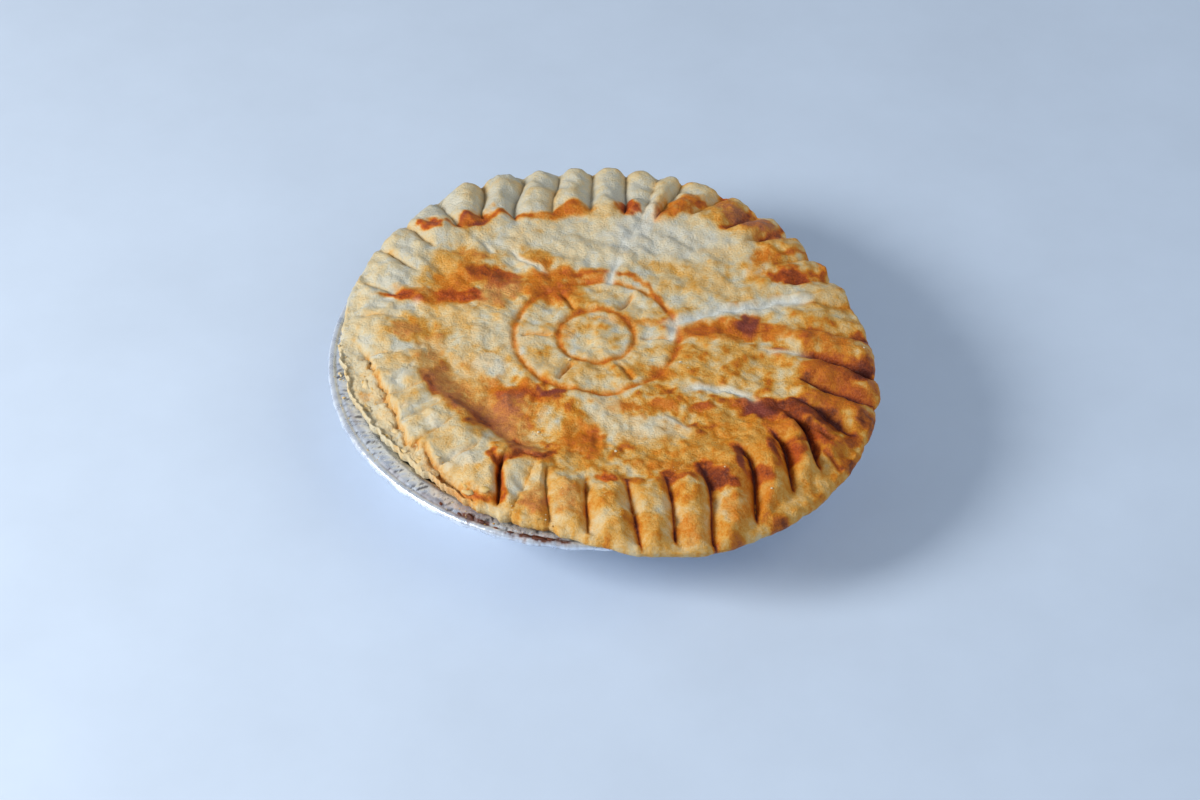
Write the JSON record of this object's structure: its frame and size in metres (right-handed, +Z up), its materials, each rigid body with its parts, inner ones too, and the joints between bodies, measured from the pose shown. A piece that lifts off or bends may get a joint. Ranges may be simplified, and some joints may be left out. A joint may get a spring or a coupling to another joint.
{
  "type": "pot pie in a foil tin",
  "caption": "Round baked pie with a pinched, unevenly browned crust and a ring pressed in its lid, standing in its own shallow pleated foil tin.",
  "frame": {"origin": "centre of the tin's flat base, at the level it stands on", "axes": "+Z up out of the tin; +Y to the back of the pie as pictured; +X to the right"},
  "size_m": [0.1803, 0.1835, 0.0373],
  "materials": {
    "pastry_crust": "matte baked pastry, pale cream with golden and dark brown patches",
    "tin_foil": "bright pleated foil"
  },
  "bodies": {
    "root": {"pie": "pastry_crust", "foil_tin": "tin_foil"}
  },
  "joints": []
}
